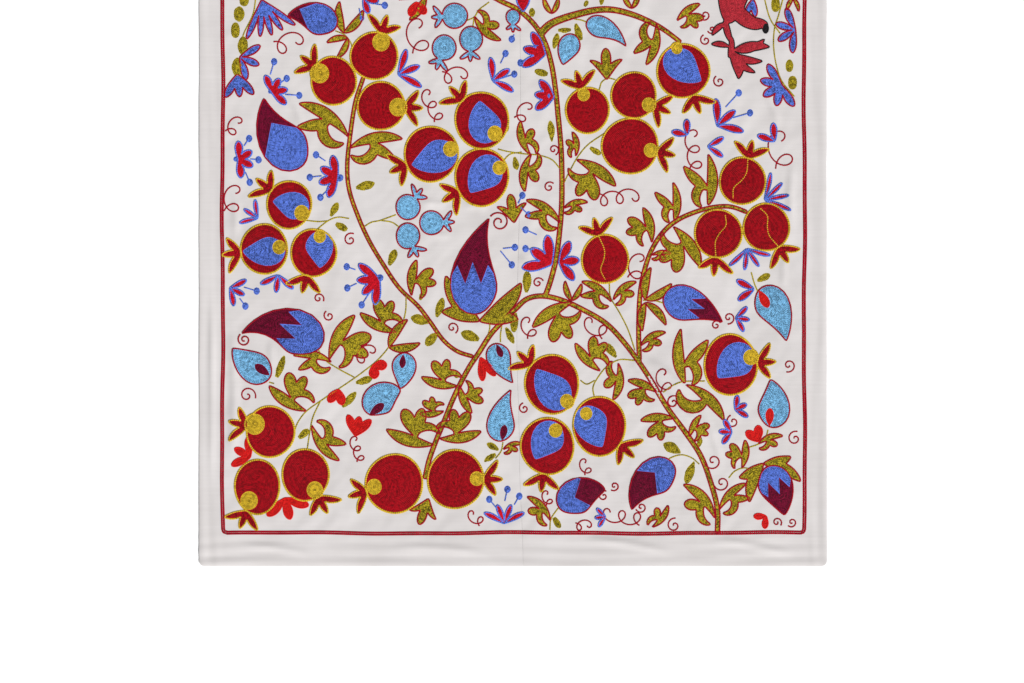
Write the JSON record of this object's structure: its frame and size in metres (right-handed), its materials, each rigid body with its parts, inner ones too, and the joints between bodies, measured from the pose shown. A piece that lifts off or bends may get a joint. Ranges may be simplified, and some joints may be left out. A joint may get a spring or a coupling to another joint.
{
  "type": "suzani embroidered textile",
  "caption": "Embroidered silk wall hanging sewn from two loom widths, laid flat, with a plain margin, turned hems and light creases; it decorates a wall, bed or table.",
  "frame": {"origin": "centre of the rectangle that the hanging covers, on the surface it lies on", "axes": "+X to the right of the design, +Y up the design, +Z out of its face"},
  "size_m": [1.004, 1.5, 0.0058],
  "materials": {
    "silk_ground": "off-white silk with a soft sheen",
    "silk_thread": "silk chain stitch in crimson, olive, blue, yellow and maroon"
  },
  "bodies": {
    "root": {"left_panel": "silk_ground", "right_panel": "silk_ground"}
  },
  "joints": []
}
